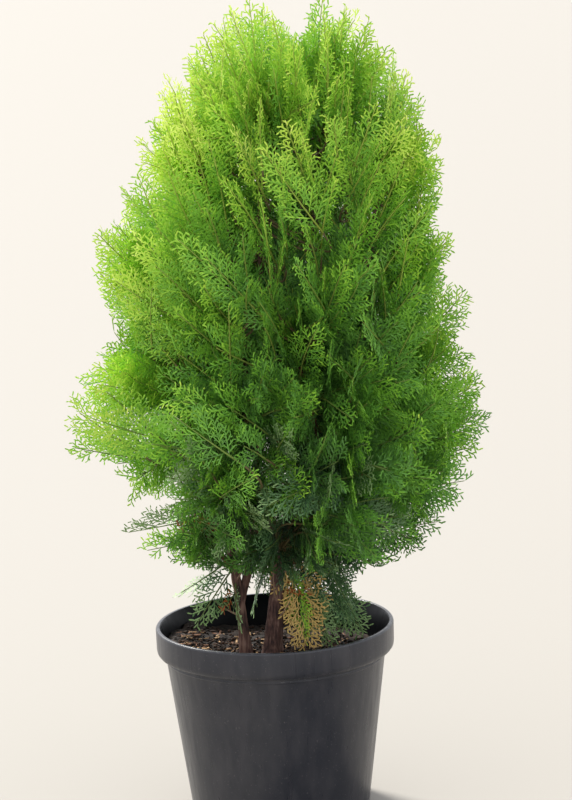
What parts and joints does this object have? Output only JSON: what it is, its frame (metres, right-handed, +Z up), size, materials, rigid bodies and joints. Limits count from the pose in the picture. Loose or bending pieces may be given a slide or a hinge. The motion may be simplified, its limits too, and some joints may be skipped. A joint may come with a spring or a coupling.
{
  "type": "potted oriental thuja",
  "caption": "Young evergreen shrub with flat fan-shaped sprays on several upright stems, in soil in a round tapering black plastic nursery pot.",
  "frame": {"origin": "centre of the pot's flat underside, at ground level", "axes": "+Z up along the pot's axis, -Y towards the front, +X to the right as seen from the front"},
  "size_m": [0.3238, 0.2985, 0.6462],
  "materials": {
    "pot_plastic": "satin moulded black plastic",
    "soil": "dark crumbly peat compost with bark chips",
    "bark": "reddish brown bark that peels in thin strips",
    "foliage": "satin green scale leaves, yellow-green at the tips"
  },
  "bodies": {
    "root": {"bough_low_1": "bark", "bough_low_2": "bark", "bough_low_3": "bark", "bough_low_4": "bark", "bough_low_5": "bark", "bough_low_6": "bark", "bough_middle_1": "bark", "bough_middle_2": "bark", "bough_middle_3": "bark", "bough_middle_4": "bark", "bough_middle_5": "bark", "bough_middle_6": "bark", "bough_skirt_1": "bark", "bough_skirt_2": "bark", "bough_skirt_3": "bark", "bough_skirt_4": "bark", "bough_skirt_5": "bark", "bough_upper_1": "bark", "bough_upper_2": "bark", "bough_upper_3": "bark", "bough_upper_4": "bark", "bough_upper_5": "bark", "bough_upper_6": "bark", "foliage_leader_back": "foliage", "foliage_leader_centre": "foliage", "foliage_leader_left": "foliage", "foliage_leader_right": "foliage", "foliage_leader_trunk": "foliage", "foliage_low_1": "foliage", "foliage_low_2": "foliage", "foliage_low_3": "foliage", "foliage_low_4": "foliage", "foliage_low_5": "foliage", "foliage_low_6": "foliage", "foliage_middle_1": "foliage", "foliage_middle_2": "foliage", "foliage_middle_3": "foliage", "foliage_middle_4": "foliage", "foliage_middle_5": "foliage", "foliage_middle_6": "foliage", "foliage_skirt_1": "foliage", "foliage_skirt_2": "foliage", "foliage_skirt_3": "foliage", "foliage_skirt_4": "foliage", "foliage_skirt_5": "foliage", "foliage_upper_1": "foliage", "foliage_upper_2": "foliage", "foliage_upper_3": "foliage", "foliage_upper_4": "foliage", "foliage_upper_5": "foliage", "foliage_upper_6": "foliage", "pot": "pot_plastic", "soil": "soil", "stem_back": "bark", "stem_centre": "bark", "stem_left": "bark", "stem_right": "bark", "trunk": "bark"}
  },
  "joints": []
}
